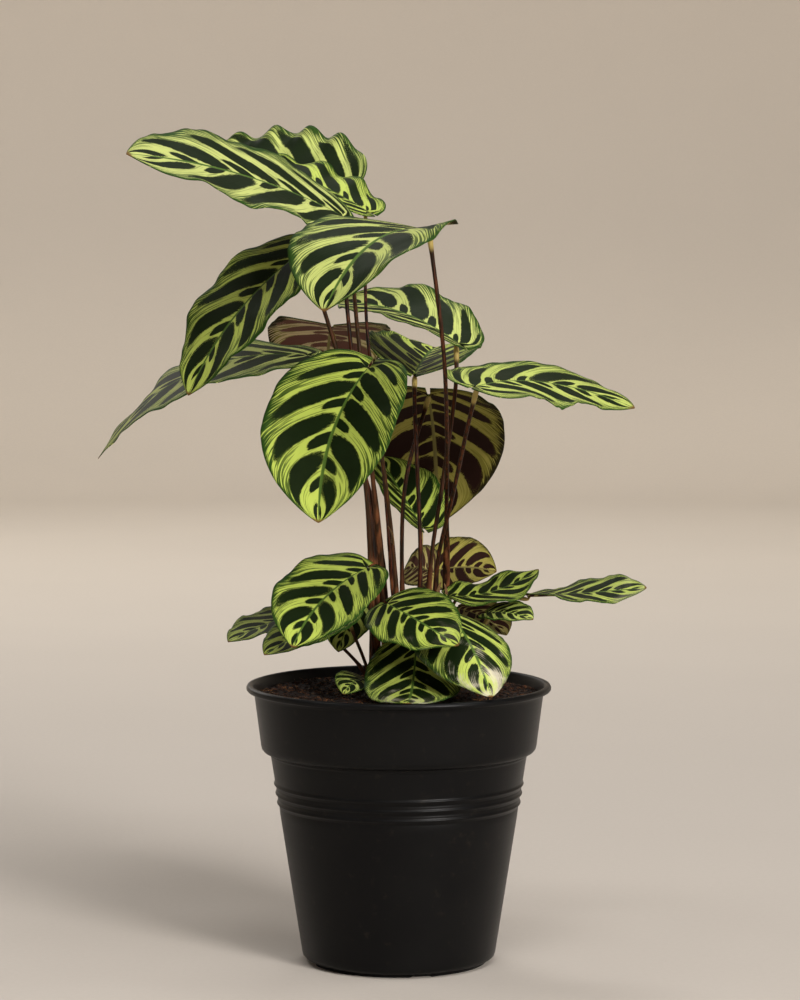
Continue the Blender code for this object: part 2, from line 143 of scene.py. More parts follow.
def bump(height, strength, distance, shader):
    node = newNode("Bump")
    node.inputs["Strength"].default_value = strength
    node.inputs["Distance"].default_value = distance
    plug(height, node.inputs["Height"])
    plug(node.outputs[0], shader.inputs["Normal"])


plainGleam = 0.5         # the shader's own specular level


def dress(shader, colour, rough, gleam):
    # the shader's colour, its roughness and its specular level
    plug(colour, shader.inputs["Base Color"])
    plug(rough, shader.inputs["Roughness"])
    shader.inputs["Specular IOR Level"].default_value = gleam


def fromSrgb(red, green, blue):
    # sRGB bytes to the linear colour that a shader takes
    share = np.array([red, green, blue]) / 255
    linear = np.where(share <= 0.04045, share / 12.92, ((share + 0.055) / 1.055) ** 2.4)
    return tuple(float(v) for v in linear)


def paints(**colours):
    return {name: fromSrgb(*colour) for name, colour in colours.items()}


def darker(colour, share):
    return tuple(v * share for v in colour)


# meshes from whole arrays
def gridFaces(rows, columns, closed=False):
    # quads between neighbouring rows and columns, and from the last column to the first where closed
    index = np.arange(rows * columns).reshape(rows, columns)
    if closed:
        index = np.concatenate([index, index[:, :1]], 1)
    return np.stack([index[:-1, :-1], index[1:, :-1], index[1:, 1:], index[:-1, 1:]], -1).reshape(-1, 4)


def enclosedVolume(points, faces):
    # a sixth of the sum of a . (b x c) over the triangles that fan out from each face's first corner
    total = 0.0
    for block in faces:
        corner = points[block]
        for k in range(1, block.shape[1] - 1):
            total += float(np.sum(corner[:, 0] * np.cross(corner[:, k], corner[:, k + 1]))) / 6
    return total


def meshPiece(name, points, faces, materials, slots=None, smooth=True, closed=True):
    # faces is a list of arrays with three or four corners a row; a closed skin is turned to face outwards
    points = np.asarray(points, float)
    if closed and enclosedVolume(points, faces) < 0:
        faces = [block[:, ::-1] for block in faces]
    flat = np.concatenate([block.reshape(-1) for block in faces]).astype(np.int32)
    sizes = np.concatenate([np.full(len(block), block.shape[1]) for block in faces])
    mesh = bpy.data.meshes.new(name)
    mesh.vertices.add(len(points))
    mesh.vertices.foreach_set("co", points.reshape(-1) * mm)
    mesh.loops.add(len(flat))
    mesh.loops.foreach_set("vertex_index", flat)
    mesh.polygons.add(len(sizes))
    mesh.polygons.foreach_set("loop_start", (np.cumsum(sizes) - sizes).astype(np.int32))
    mesh.polygons.foreach_set("use_smooth", np.full(len(sizes), smooth))
    for material in materials:
        mesh.materials.append(material)
    if slots is not None:
        mesh.polygons.foreach_set("material_index", np.asarray(slots, np.int32))
    mesh.update()
    mesh.validate()
    piece = bpy.data.objects.new(name, mesh)
    bpy.context.scene.collection.objects.link(piece)
    return piece


def pointMap(piece, name, across, along):
    # a UV map from one pair of numbers for each point
    mesh = piece.data
    layer = mesh.uv_layers.new(name=name)
    corner = np.empty(len(mesh.loops), np.int32)
    mesh.loops.foreach_get("vertex_index", corner)
    pairs = np.stack([across[corner], along[corner]], -1)
    layer.uv.foreach_set("vector", pairs.reshape(-1).astype(np.float32))


def pointColour(piece, name, colours):
    layer = piece.data.color_attributes.new(name=name, type="FLOAT_COLOR", domain="POINT")
    layer.data.foreach_set("color", np.asarray(colours, np.float32).reshape(-1))


def closedRings(ring):
    # a skin through rows of rings, with a fan from each end ring to its own middle
    rows, sides = ring.shape[:2]
    points = np.vstack([ring.reshape(-1, 3), ring[0].mean(0), ring[-1].mean(0)])
    first = np.arange(sides)
    last = first + (rows - 1) * sides
    low = np.stack([first, np.roll(first, -1), np.full(sides, rows * sides)], -1)
    high = np.stack([np.roll(last, -1), last, np.full(sides, rows * sides + 1)], -1)
    return points, [gridFaces(rows, sides, closed=True), np.concatenate([low, high])]


def joined(skins):
    # several skins as one
    starts = np.cumsum([0] + [len(skin[0]) for skin in skins])
    faces = [np.vstack([skin[1][k] + start for skin, start in zip(skins, starts)]) for k in (0, 1)]
    return np.vstack([skin[0] for skin in skins]), faces


def unit(ways):
    return ways / np.linalg.norm(ways, axis=-1, keepdims=True)


def smoothRise(value, low, high):
    # 0 below low, 1 above high, and t squared times (3 - 2t) between
    t = np.clip((value - low) / (high - low), 0, 1)
    return t * t * (3 - 2 * t)


def finish(piece, slot, *replaced):
    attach(piece, "root")
    if replaced:
        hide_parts(*replaced)


# blades: base and tip of the midrib, width, and how each one bends, as in the solids; tone is where the
# blotches start, how pale the bands are, how much of the tip gets pale dry patches, which on
# leaf_low_hanging stand for a painted sheen, and how glossy the face is
leafUsual = dict(bow=0, sway=0, roll=0, twist=0, fold=(5, 5), cup=0, wave=(1, 1), waves=3.0, start=(0, 0.5),
                 lobe=0.08, pinch=0, tone=(0.3, 0.3, 0, 0.3))


def leaf(base, tip, width, **own):
    m = dict(leafUsual, base=base, tip=tip, width=width, **own)
    straight = np.linalg.norm(np.subtract(tip, base))
    m["length"] = straight * (1 + 8 / 3 * (m["bow"] ** 2 + m["sway"] ** 2) / straight ** 2)
    return m


leaves = dict(
    leaf_top_left=leaf((-35, 6, 467), (-164, -60, 504), 110, bow=7, roll=-23, fold=(0, 5), wave=(2.5, 1.5),
                       tone=(0.1, 0.7, 0, 0.2)),
    leaf_top_back=leaf((-35, 96, 486), (-138, 148, 508), 80, bow=2, roll=-34, twist=20, fold=(4, 15),
                       wave=(0.5, 3.6), waves=5.0, start=(0, 0.2), tone=(0.5, 0.6, 0, 0.2)),
    leaf_top_inner=leaf((-20, 58, 470), (-94, 93, 505), 58, bow=2, roll=-8, fold=(5, 8), wave=(0.5, 3),
                        waves=3.5, start=(0, 0.2), tone=(0.2, 0.2, 0, 0.3)),
    leaf_top_front=leaf((19, -70, 458), (-43, -160, 412), 107, bow=17, roll=-7, twist=6, fold=(14, 3),
                        wave=(2, 1), lobe=0.03, pinch=0.88, tone=(0.4, 0.6, 0, 0.4)),
    leaf_high_left=leaf((-58, -25, 446), (-128, -50, 358), 76, bow=8, roll=-15, fold=(2, 10),
                        wave=(1.5, 2), tone=(0.6, 0.2, 0, 0.3)),
    leaf_mid_left=leaf((-59, 45, 379), (-191, 45, 313), 100, bow=22, sway=4, roll=-11, fold=(0, -3),
                       wave=(1, 2), tone=(0.7, 0.6, 0, 0.2)),
    leaf_mid_front=leaf((-19, -32, 374), (-48, -92, 284), 86, bow=8, sway=-5, roll=-12, twist=12,
                        fold=(13, 16), tone=(0.88, 0.1, 0, 0.3)),
    leaf_high_right=leaf((37, 4, 388), (-38, 80, 411), 64, bow=7, roll=3, twist=-28, fold=(13, 13),
                         wave=(1, 2), tone=(0, 0.6, 0, 0.3)),
    leaf_mid_back=leaf((10, 24, 368), (24, 140, 380), 76, bow=2, roll=2, fold=(24, 17),
                       tone=(0.3, 0.2, 0, 0.2)),
    leaf_mid_right=leaf((47, -56, 364), (145, -26, 349), 80, bow=8, sway=18, roll=8, fold=(6, -9),
                        wave=(2, 3), waves=1.7, start=(0.35, 0.03), lobe=0.06, tone=(0.2, 0.4, 0, 0.4)),
    leaf_rear=leaf((19, 46, 354), (26, 128, 264), 90, bow=13, roll=4, fold=(4, 4),
                   tone=(0.5, 0.1, 0, 0.2)),
    leaf_rear_left=leaf((-44, 104, 395), (-49, 186, 347), 80, bow=9, roll=3, fold=(9, 9), wave=(1.5, 0.5),
                        tone=(0.8, 0.9, 0, 0.2)),
    leaf_centre=leaf((15, 25, 271), (-13, 82, 312), 50, roll=4, fold=(26, 24), tone=(0.6, 0.1, 0, 0.2)),
    leaf_low_front_left=leaf((-20, -22, 250), (-64, -76, 207), 61, bow=4, sway=-5, roll=-14, fold=(5, 12),
                             wave=(0.5, 1.5), tone=(0.9, 0.1, 0, 0.3)),
    leaf_low_left=leaf((-56, 26, 218), (-106, -15, 203), 45, bow=2, roll=-3, fold=(2, 4),
                       tone=(0.2, 0.3, 0, 0.3)),
    leaf_low_left_inner=leaf((-33, -14, 223), (-82, -56, 200), 46, bow=1, roll=-6, fold=(1, 4),
                             wave=(0.5, 0.5), tone=(0.4, 0.1, 0, 0.3)),
    leaf_low_inner=leaf((-24, 36, 226), (-38, 7, 194), 31, bow=2, roll=-6, wave=(0.5, 0.5),
                        tone=(0.1, 0.3, 0, 0.3)),
    leaf_low_front=leaf((-7, -24, 228), (36, -74, 208), 50, bow=2, sway=-3, roll=20, fold=(9, -8),
                        wave=(0.5, 1.5), tone=(0.7, 0.1, 0.1, 0.3)),
    leaf_low_front_right=leaf((28, -11, 222), (56, -79, 177), 62, bow=9, sway=-1, roll=4, fold=(-15, -14),
                              cup=-14, wave=(0.5, 0.5), lobe=0.02, tone=(0.5, 0.2, 1.0, 0.6)),
    # its dry share of 0.6 paints pale patches that stand in for a painted sheen on this blade
    leaf_low_hanging=leaf((11, -20, 206), (5, -83, 174), 59, bow=-11, fold=(-2, -4), wave=(0.5, 0.5),
                          lobe=0.02, tone=(0.6, 0.2, 0.6, 1.0)),
    leaf_soil_left=leaf((-21, -15, 180), (-34, -43, 174), 23, bow=3, roll=-10, fold=(0, 12),
                        wave=(0.2, 0.2), tone=(0.3, 0.3, 0, 0.2)),
    leaf_low_far_right=leaf((82, 46, 226), (157, 31, 232), 52, bow=-1, roll=-8, twist=36, fold=(4, 4),
                            lobe=0.03, tone=(0, 0.3, 0.2, 0.3)),
    leaf_low_right=leaf((32, -8, 231), (88, 18, 245), 42, bow=-5, roll=5, fold=(7, -6), wave=(2.5, 1.5),
                        waves=2.0, start=(0.75, 0.6), lobe=0.04, tone=(0.6, 0.1, 0, 0.3)),
    leaf_low_back_right=leaf((19, 70, 239), (64, 112, 234), 38, bow=3, roll=-60, fold=(6, 22),
                             wave=(0.5, 0.5), tone=(0.2, 0.12, 0, 0.3)),
    leaf_low_right_inner=leaf((37, 22, 221), (69, 54, 199), 33, bow=3, roll=-22, fold=(8, 5),
                              wave=(0.5, 0.5), lobe=0.02, tone=(0.8, 0.3, 0, 0.3)),
    leaf_low_right_small=leaf((55, -2, 220), (83, -24, 218), 25, bow=2, roll=16, fold=(9, 2),
                              wave=(0.5, 0.5), tone=(0.4, 0.3, 0.1, 0.3)),
    leaf_low_middle=leaf((21, 52, 239), (3, 20, 243), 27, bow=4, roll=60, fold=(16, 6), wave=(0.2, 0.2),
                         tone=(0.7, 0.4, 0, 0.3)),
)

# each shoot: its place in the soil, and for each stalk its foot beside that place and the points it passes
shoots = dict(
    shoot_left=((-15, -6), dict(
        leaf_high_left=((-1.5, 1), [(-17, -8, 240), (-25, -14, 330)]),
        leaf_top_left=((1.5, 0.5), [(-14, -7, 240), (-21, -9, 310), (-31, -9, 400)]),
        leaf_low_front_left=((0, -2), []),
        leaf_low_left_inner=((-1, -1), []),
        leaf_low_left=((-0.5, 0.5), []),
    )),
    shoot_back_left=((-7, 20), dict(
        leaf_top_back=((1, -1), [(-10, 15, 240), (-17, 5, 310), (-26, -1, 400)]),
        leaf_mid_left=((-1, -1), [(-12, 18, 240), (-20, 14, 300)]),
        leaf_rear_left=((-1.5, 1), [(-10, 21, 240), (-18, 26, 310)]),
        leaf_low_inner=((0, 2), []),
    )),
    shoot_front=((-1, -9), dict(
        leaf_mid_front=((0, 1), [(-2, -9, 240), (-8, -14, 300)]),
        leaf_low_front=((0, -2), []),
        leaf_soil_left=((0, -0.5), [(-2, -10, 175), (-11, -14, 174)]),
    )),
    shoot_back=((2, 10), dict(
        leaf_top_inner=((-1.5, 0), [(-4, 9, 240), (-10, 8, 310), (-20, 6, 400)]),
        leaf_rear=((1, 0), [(2, 8, 267), (5, 12, 305)]),
        leaf_low_middle=((0.5, 1), []),
    )),
    shoot_middle=((14, -4), dict(
        leaf_mid_back=((-1.5, 0), [(13.5, -4, 250), (12, -2, 300), (10, 6, 345)]),
        leaf_high_right=((1, 1), [(20, -4, 251), (27, -4, 300), (35, -3, 358)]),
        leaf_centre=((0, 2), []),
        leaf_low_hanging=((-1, -2), []),
    )),
    shoot_right=((26.5, 1), dict(
        leaf_mid_right=((-2, 0), [(23.5, 0, 244), (33, -18, 293)]),
        leaf_low_front_right=((0, -2), []),
        leaf_low_right=((1.5, 0), [(28, 0, 217)]),
    )),
    shoot_back_right=((30, 15), dict(
        leaf_top_front=((0.5, -1), [(30, 16, 245), (28, -62, 371)]),
        leaf_low_far_right=((1.5, 0.5), [(32, 16, 216), (42, 21, 231), (62, 34, 228)]),
        leaf_low_back_right=((-1, 1.5), []),
        leaf_low_right_inner=((1, 1.5), []),
        leaf_low_right_small=((1.5, -1.5), []),
    )),
)

bladeLook = dict(
    thick=0.5,           # at the margin
    strip=1.2,           # half width of the flat strip along the midrib, at the base
    ribHalf=1.0,         # half width of the round midrib below
    ribDrop=1.4,         # how far it stands out at the base
    groove=0.3,          # and how deep its furrow is above
    grooveHalf=0.9,
    pleat=0.05,          # height of the soft pleats along the side veins
    pleatPitch=0.045,    # from pleat to pleat, as a share of the length
    crinkle=0.35,        # small waves of the margin
    large=95,            # length from which a blade gets the fine grid
    fineGrid=(90, 45),
    smallGrid=(60, 33),
    slant=0.22,          # how far a side vein runs towards the tip on its way out, as a share of the length
    sweep=0.16,          # and how much further as it curves
)


def outline(u):
    # half width: 1 - |2 u^0.75 - 1|^2.2, to a power that grows from 0.5 at the base to 0.85 at the tip
    swell = 1 - np.abs(2 * np.clip(u, 0, 1) ** 0.75 - 1) ** 2.2
    return np.clip(swell, 0, None) ** (0.5 + 0.35 * u)


def midrib(m, shares):
    # the straight line from base to tip plus 4 u (1 - u) times the bow above it and the sway beside it;
    # returns its points and the directions along it, to its left and out of the upper face
    base = np.array(m["base"], float)
    chord = np.array(m["tip"], float) - base
    level = np.array([-chord[1], chord[0], 0]) / math.hypot(chord[0], chord[1])
    above = np.cross(chord, level) / np.linalg.norm(chord)
    arch = above * m["bow"] + level * m["sway"]
    u = np.asarray(shares, float)[:, None]
    line = base + chord * u + arch * 4 * u * (1 - u)
    along = unit(chord + arch * 4 * (1 - 2 * u))
    flat = unit(np.stack([-along[:, 1], along[:, 0], 0 * along[:, 0]], -1))
    over = np.cross(along, flat)
    roll = np.radians(m["roll"] + m["twist"] * u)
    left = np.cos(roll) * flat + np.sin(roll) * over
    return line, along, left, np.cross(along, left)


def bladeSurface(m, shares, across):
    # midrib + left * x + up * z - along * back, for shares of the length and places across from -1 at the
    # right margin to 1 at the left one; beyond the midrib's strip x and z turn the way out by fold and cup,
    # waves grow towards the margin, and back draws out the two lobes at the base
    line, along, left, up = midrib(m, shares)
    length = m["length"]
    u = shares[:, None]
    strip = bladeLook["strip"] * (1 - 0.7 * u)
    size = np.abs(across)[None, :]
    isLeft = across[None, :] > 0
    slim = 1 - m["pinch"] * (1 - u) ** 5 * isLeft
    half = m["width"] / 2 * outline(u) * slim + (strip + 0.3) * (1 - 0.7 * u ** 6)
    strip = np.minimum(strip, half * 0.6)
    out = half * size
    past = np.clip(out - strip, 0, None)
    share = past / (half - strip)
    lift = np.radians(np.where(isLeft, m["fold"][0], m["fold"][1]) + m["cup"] * share / 2)
    ends = np.minimum(1, 6 * (1 - u)) * np.minimum(1, 8 * u)
    waveLeft = m["wave"][0] * np.sin(2 * np.pi * (m["waves"] * u + m["start"][0]))
    waveRight = m["wave"][1] * np.sin(2 * np.pi * (m["waves"] * u + m["start"][1]))
    wave = np.where(isLeft, waveLeft, waveRight) * share ** 2 * ends
    seed = m["base"][0] * 0.37 + m["base"][2] * 0.11 + 0.31 * isLeft
    crinkle = np.sin(2 * np.pi * (7.3 * u + seed)) + 0.6 * np.sin(2 * np.pi * (11.7 * u + 2.1 * seed))
    crinkle = crinkle * bladeLook["crinkle"] * length / 120 * size ** 4 * ends
    vein = u - bladeLook["slant"] * size - bladeLook["sweep"] * size ** 2
    pleat = np.sin(2 * np.pi * vein / bladeLook["pleatPitch"]) * np.sin(np.pi * size) ** 0.7
    pleat = pleat * bladeLook["pleat"] * np.minimum(1, half / 15)
    x = np.sign(across)[None, :] * (np.minimum(out, strip) + past * np.cos(lift))
    z = past * np.sin(lift) + wave + crinkle + pleat
    back = m["lobe"] * length * (1 - u) ** 6 * share
    points = line[:, None] + left[:, None] * x[..., None] + up[:, None] * z[..., None]
    return points - along[:, None] * back[..., None], half * across[None, :]


def makeBlade(name, m, materials):
    # both faces lie half the thickness off that surface, along its normal; the lower one also carries the
    # round midrib, a bell curve of the distance from the middle, and the upper one its furrow
    look = bladeLook
    rows, columns = look["fineGrid"] if m["length"] > look["large"] else look["smallGrid"]
    even = np.linspace(0, 1, rows)
    shares = 0.5 * even + 0.5 * (1 - np.cos(np.pi * even)) / 2
    side = np.linspace(-1, 1, columns)
    across = 0.35 * side + 0.65 * np.sign(side) * np.abs(side) ** 1.6
    middle, offset = bladeSurface(m, shares, across)
    way = np.cross(np.gradient(middle, axis=0), np.gradient(middle, axis=1))
    way = way / np.maximum(np.linalg.norm(way, axis=-1), 1e-9)[..., None]
    up = midrib(m, shares)[3][:, None]
    way = np.where(np.sum(way * up, -1, keepdims=True) < 0, -way, way)
    u = shares[:, None]
    drop = look["ribDrop"] * (1 - u) ** 0.8 * np.exp(-(offset / (look["ribHalf"] * (1 - 0.7 * u))) ** 2)
    furrow = look["groove"] * (1 - u) ** 0.5 * np.exp(-(offset / look["grooveHalf"]) ** 2)
    top = middle + way * (look["thick"] / 2 - furrow)[..., None]
    under = middle - way * (look["thick"] / 2 + drop)[..., None]
    faces = gridFaces(rows, columns)
    total = rows * columns
    index = np.arange(total).reshape(rows, columns)
    edge = np.concatenate([index[0, :-1], index[:-1, -1], index[-1, :0:-1], index[:0:-1, 0]])
    after = np.roll(edge, -1)
    wall = np.stack([edge, after, after + total, edge + total], -1)
    slots = np.repeat([0, 1, 0], [len(faces), len(faces), len(wall)])
    piece = meshPiece(name, np.concatenate([top.reshape(-1, 3), under.reshape(-1, 3)]),
                      [np.concatenate([faces, faces[:, ::-1] + total, wall])], materials, slots)
    acrossMap = np.broadcast_to((across / 2 + 0.5)[None, :], (rows, columns)).reshape(-1)
    alongMap = np.broadcast_to(u, (rows, columns)).reshape(-1)
    pointMap(piece, "bladeMap", np.tile(acrossMap, 2), np.tile(alongMap, 2))
    pointColour(piece, "bladeTone", np.tile(m["tone"], (2 * total, 1)))
    return piece


bladePaint = paints(
    dark=(20, 34, 12),                # the blotches above
    light=(184, 202, 84),             # bands between them
    pale=(200, 204, 132),             # bands of the paler blades
    edge=(38, 66, 20),
    rib=(74, 100, 40),
    lines=(40, 64, 20),               # fine side veins in the bands
    # pale patches: dry tissue, and a painted sheen where a blade's dry share stands for one
    dry=(210, 202, 180),
    tip=(104, 78, 40),
    darkBack=(20, 9, 8),              # the same below
    paleDarkBack=(100, 66, 56),
    lightBack=(156, 150, 64),
    paleBack=(206, 188, 146),
    edgeBack=(38, 34, 18),
    ribBack=(120, 112, 66),
)
bladePaint.update(
    count=5.5,                        # blotches along each side, counted as count * (vein + 0.4)^0.7
    big=(0.0, 0.31, 0.43, 0.46, 1.0),     # their place between two veins, half width, middle, reach and seed
    little=(0.5, 0.15, 0.10, 0.20, 5.0),  # the same of the small ones
    linePitch=0.011,                  # width of a fine vein and its gap, as a share of the length
    rough=0.54, roughBack=0.64,
    gleam=0.10, gleamBack=0.05,       # specular level
    gleamTint=(0.85, 0.85, 0.55),
)


def bladePlaces(shift):
    # where a point of the blade is: along and across it, and on which side vein
    uv = newNode("UVMap")
    uv.uv_map = "bladeMap"
    right, along = parts(uv.outputs[0])[:2]
    where = coords()
    signed = mulAdd(right, 2.0, -1.0)
    away = calc("ABSOLUTE", signed)
    wobble = calc("SUBTRACT", noise(where, 60.0, 2.0), 0.5)
    fray = calc("SUBTRACT", noise(where, 420.0, 2.0), 0.5)
    lean = mulAdd(away, bladeLook["sweep"], bladeLook["slant"])
    vein = calc("SUBTRACT", along, product(away, lean))
    # noise stretched along the side veins gives uneven lines that start and stop
    spot = vector(calc("DIVIDE", vein, bladePaint["linePitch"]), product(signed, 2.2), product(shift, 40.0))
    isLeft = calc("GREATER_THAN", signed, 0.0)
    return dict(where=where, along=along, away=away, isLeft=isLeft, wobble=wobble, fray=fray, vein=vein,
                shift=shift, mottle=noise(where, 90.0, 4.0), streak=noise(spot, 1.0, 2.0))


def blotches(at, cells, offset, halfWidth, middle, reach, seed):
    # ovals along the side veins: |cells from the oval's vein / half width|^2.2 + |way out / reach|^2.8 < 1,
    # with each oval's size drawn from its number
    moved = calc("ADD", cells, offset)
    number = calc("FLOOR", moved)
    far = calc("SUBTRACT", calc("SUBTRACT", moved, number), 0.5)
    chance = newNode("TexWhiteNoise")
    chance.noise_dimensions = "2D"
    key = vector(mulAdd(at["shift"], 37.0, number), calc("ADD", at["isLeft"], seed))
    plug(key, chance.inputs["Vector"])
    luck = chance.outputs[0]
    span = mulAdd(luck, reach * 0.3, reach * 0.8)
    wide = mulAdd(luck, halfWidth * 0.3, halfWidth * 0.85)
    wide = product(wide, smoothStep(at["along"], 0.75, 1.0, 1.0, 0.5))
    one = calc("POWER", calc("ABSOLUTE", calc("DIVIDE", far, wide)), 2.2)
    out = calc("DIVIDE", calc("SUBTRACT", at["away"], middle), span)
    two = calc("POWER", calc("ABSOLUTE", out), 2.8)
    ragged = calc("ADD", at["streak"], mulAdd(at["fray"], 0.4, -0.5))
    return calc("ADD", calc("ADD", one, two), ragged)


def bladeMarks(at):
    # dark blotches, fine vein lines that thicken and run into the solid margin, and the midrib
    paint = bladePaint
    bent = mulAdd(at["wobble"], 0.03, calc("ADD", at["vein"], 0.4))
    cells = product(calc("POWER", calc("MAXIMUM", bent, 0.001), 0.7), paint["count"])
    cells = calc("ADD", cells, mulAdd(at["isLeft"], 0.42, at["shift"]))
    big = blotches(at, cells, *paint["big"])
    little = blotches(at, cells, *paint["little"])
    dark = calc("MAXIMUM", smoothStep(big, 0.85, 1.10, 1.0, 0.0),
                smoothStep(little, 0.75, 1.05, 1.0, 0.0))
    outer = smoothStep(at["away"], 0.15, 1.0)
    lines = smoothStep(mulAdd(outer, 0.15, at["streak"]), 0.59, 0.65)
    lines = product(lines, mulAdd(outer, 0.45, 0.5))
    rim = mulAdd(at["streak"], 0.55, at["away"])
    rim = mulAdd(at["wobble"], 0.25, rim)
    slim = product(at["away"], smoothStep(at["along"], 0.0, 0.9, 1.0, 0.5))
    return dict(dark=dark, lines=lines, edge=smoothStep(rim, 1.14, 1.22),
                rib=smoothStep(slim, 0.012, 0.024, 1.0, 0.0))


def bladeMaterial(name, back=False):
    # blotches, lines, margin and midrib over uneven bands; pale dry patches on the upper face only, which on
    # leaf_low_hanging are a painted sheen
    paint = bladePaint
    made, shader = newMaterial(name)
    shift, pale, dry, gloss = attribute("bladeTone")
    at = bladePlaces(shift)
    marks = bladeMarks(at)
    mottle = at["mottle"]
    if back:
        light = blend(pale, paint["lightBack"], paint["paleBack"])
        light = blend(product(mottle, 0.3), light, paint["edgeBack"])
        lines, edge, rib = darker(paint["lightBack"], 0.5), paint["edgeBack"], paint["ribBack"]
        deep = blend(pale, paint["darkBack"], paint["paleDarkBack"])
    else:
        light = blend(pale, paint["light"], paint["pale"])
        light = blend(product(mottle, 0.3), light, paint["rib"])
        lines, edge, rib = paint["lines"], paint["edge"], paint["rib"]
        deep = blend(mottle, paint["dark"], darker(paint["dark"], 0.6))
    colour = blend(marks["lines"], light, lines)
    colour = blend(marks["edge"], colour, edge)
    colour = blend(marks["dark"], colour, deep)
    colour = blend(marks["rib"], colour, rib)
    if not back:
        # pale patches: dry tissue on most blades, a painted sheen on leaf_low_hanging
        patch = mulAdd(at["along"], 0.5, noise(at["where"], 70.0))
        patch = mulAdd(at["streak"], 0.5, patch)
        patch = product(smoothStep(patch, 1.12, 1.36), dry, 0.8)
        colour = blend(patch, colour, paint["dry"])
    worn = mulAdd(at["fray"], 0.02, at["along"])
    colour = blend(smoothStep(worn, 0.975, 0.992), colour, paint["tip"])
    rough = mulAdd(gloss, -0.18, mulAdd(mottle, 0.14, paint["roughBack" if back else "rough"]))
    dress(shader, colour, rough, paint["gleamBack" if back else "gleam"])
    shader.inputs["Specular Tint"].default_value = (*paint["gleamTint"], 1.0)
    bump(mulAdd(at["fray"], 0.5, at["streak"]), 0.4, 0.00025, shader)
    return made


print("blades")
bladeFaces = [bladeMaterial("bladeUpperFace"), bladeMaterial("bladeLowerFace", back=True)]
for leafName, measures in leaves.items():
    finish(makeBlade(leafName.replace("leaf_", "blade_"), measures, bladeFaces), "blade", leafName)


# stalks, and the rough sheaths that wrap them low down
soilEdge = 169.2         # height of the soil at the pot's wall
stalkLook = dict(
    thin=1.3,            # radius of a stalk
    foot=2.1,            # radius of its sheath at the soil
    footSmall=1.6,       # and of a small blade's
    sheathShare=0.42,    # how much of the stalk the sheath wraps
    knee=1.75,           # radius of the swollen joint under the blade
    kneeLength=13.0,
    seatDepth=3.0,       # from the blade's base down to the stalk
    rings=76, sides=14,
    collarFoot=(149.0, 4.0),     # height and radius of the whole shoot's cone below the soil
    collar=4.7,          # its radius at the soil
    collarTop=(184.0, 2.2),
    collarRings=16, collarSides=22,
)


def smoothLine(points, startWay, endWay, shares):
    # Hermite cubics through the points, with the chord lengths as knots
    points = np.array(points, float)
    knots = np.concatenate([[0], np.cumsum(np.linalg.norm(np.diff(points, axis=0), axis=1))])
    ways = np.empty_like(points)
    ways[0] = startWay
    ways[-1] = endWay
    ways[1:-1] = (points[2:] - points[:-2]) / (knots[2:] - knots[:-2])[:, None]
    at = shares * knots[-1]
    k = np.clip(np.searchsorted(knots, at, side="right") - 1, 0, len(points) - 2)
    span = (knots[k + 1] - knots[k])[:, None]
    t = (at - knots[k])[:, None] / span
    return ((2 * t ** 3 - 3 * t ** 2 + 1) * points[k] + (t ** 3 - 2 * t ** 2 + t) * span * ways[k]
            + (3 * t ** 2 - 2 * t ** 3) * points[k + 1] + (t ** 3 - t ** 2) * span * ways[k + 1])


def stalkPath(place, foot, stops, m, shares):
    # from the soil nearly upright, through the stops, to under the blade's base and a little along it
    line, along, left, up = midrib(m, np.array([0.0, 0.035]))
    end = line[0] + along[0] * 0.2 - up[0] * stalkLook["seatDepth"]
    tail = line[1] - up[1] * 0.6
    root = np.array([place[0] + foot[0], place[1] + foot[1], soilEdge - 4])
    upright = unit((end - root) * np.array([0.1, 0.1, 1.0]))
    return smoothLine([root] + list(stops) + [end, tail], upright, along[1], shares)


def tubeRings(path, wide, thick, sides, lumps=0.0, seed=0.0):
    # path + (side * wide * cos(a) + other * thick * sin(a)) * (1 + lumps * waves in a and along the path),
    # where side is level and square to the way from one end to the other, and other is square to both
    way = unit(np.gradient(path, axis=0))
    run = path[-1] - path[0]
    level = np.array([-run[1], run[0], 0.0]) if math.hypot(run[0], run[1]) > 1 else np.array([0.0, 1.0, 0.0])
    side = unit(level - way * (way @ level)[:, None])
    other = np.cross(way, side)
    angle = np.linspace(0, 2 * np.pi, sides, endpoint=False)[None, :]
    gone = np.cumsum(np.linalg.norm(np.diff(path, axis=0, prepend=path[:1]), axis=1))[:, None]
    lump = np.sin(3 * angle + seed + gone * 0.09) * 0.6 + np.sin(5 * angle - seed + gone * 0.31) * 0.4
    lump = 1 + np.reshape(lumps, (-1, 1)) * lump
    return (path[:, None] + side[:, None] * (np.reshape(wide, (-1, 1)) * np.cos(angle) * lump)[..., None]
            + other[:, None] * (np.reshape(thick, (-1, 1)) * np.sin(angle) * lump)[..., None])


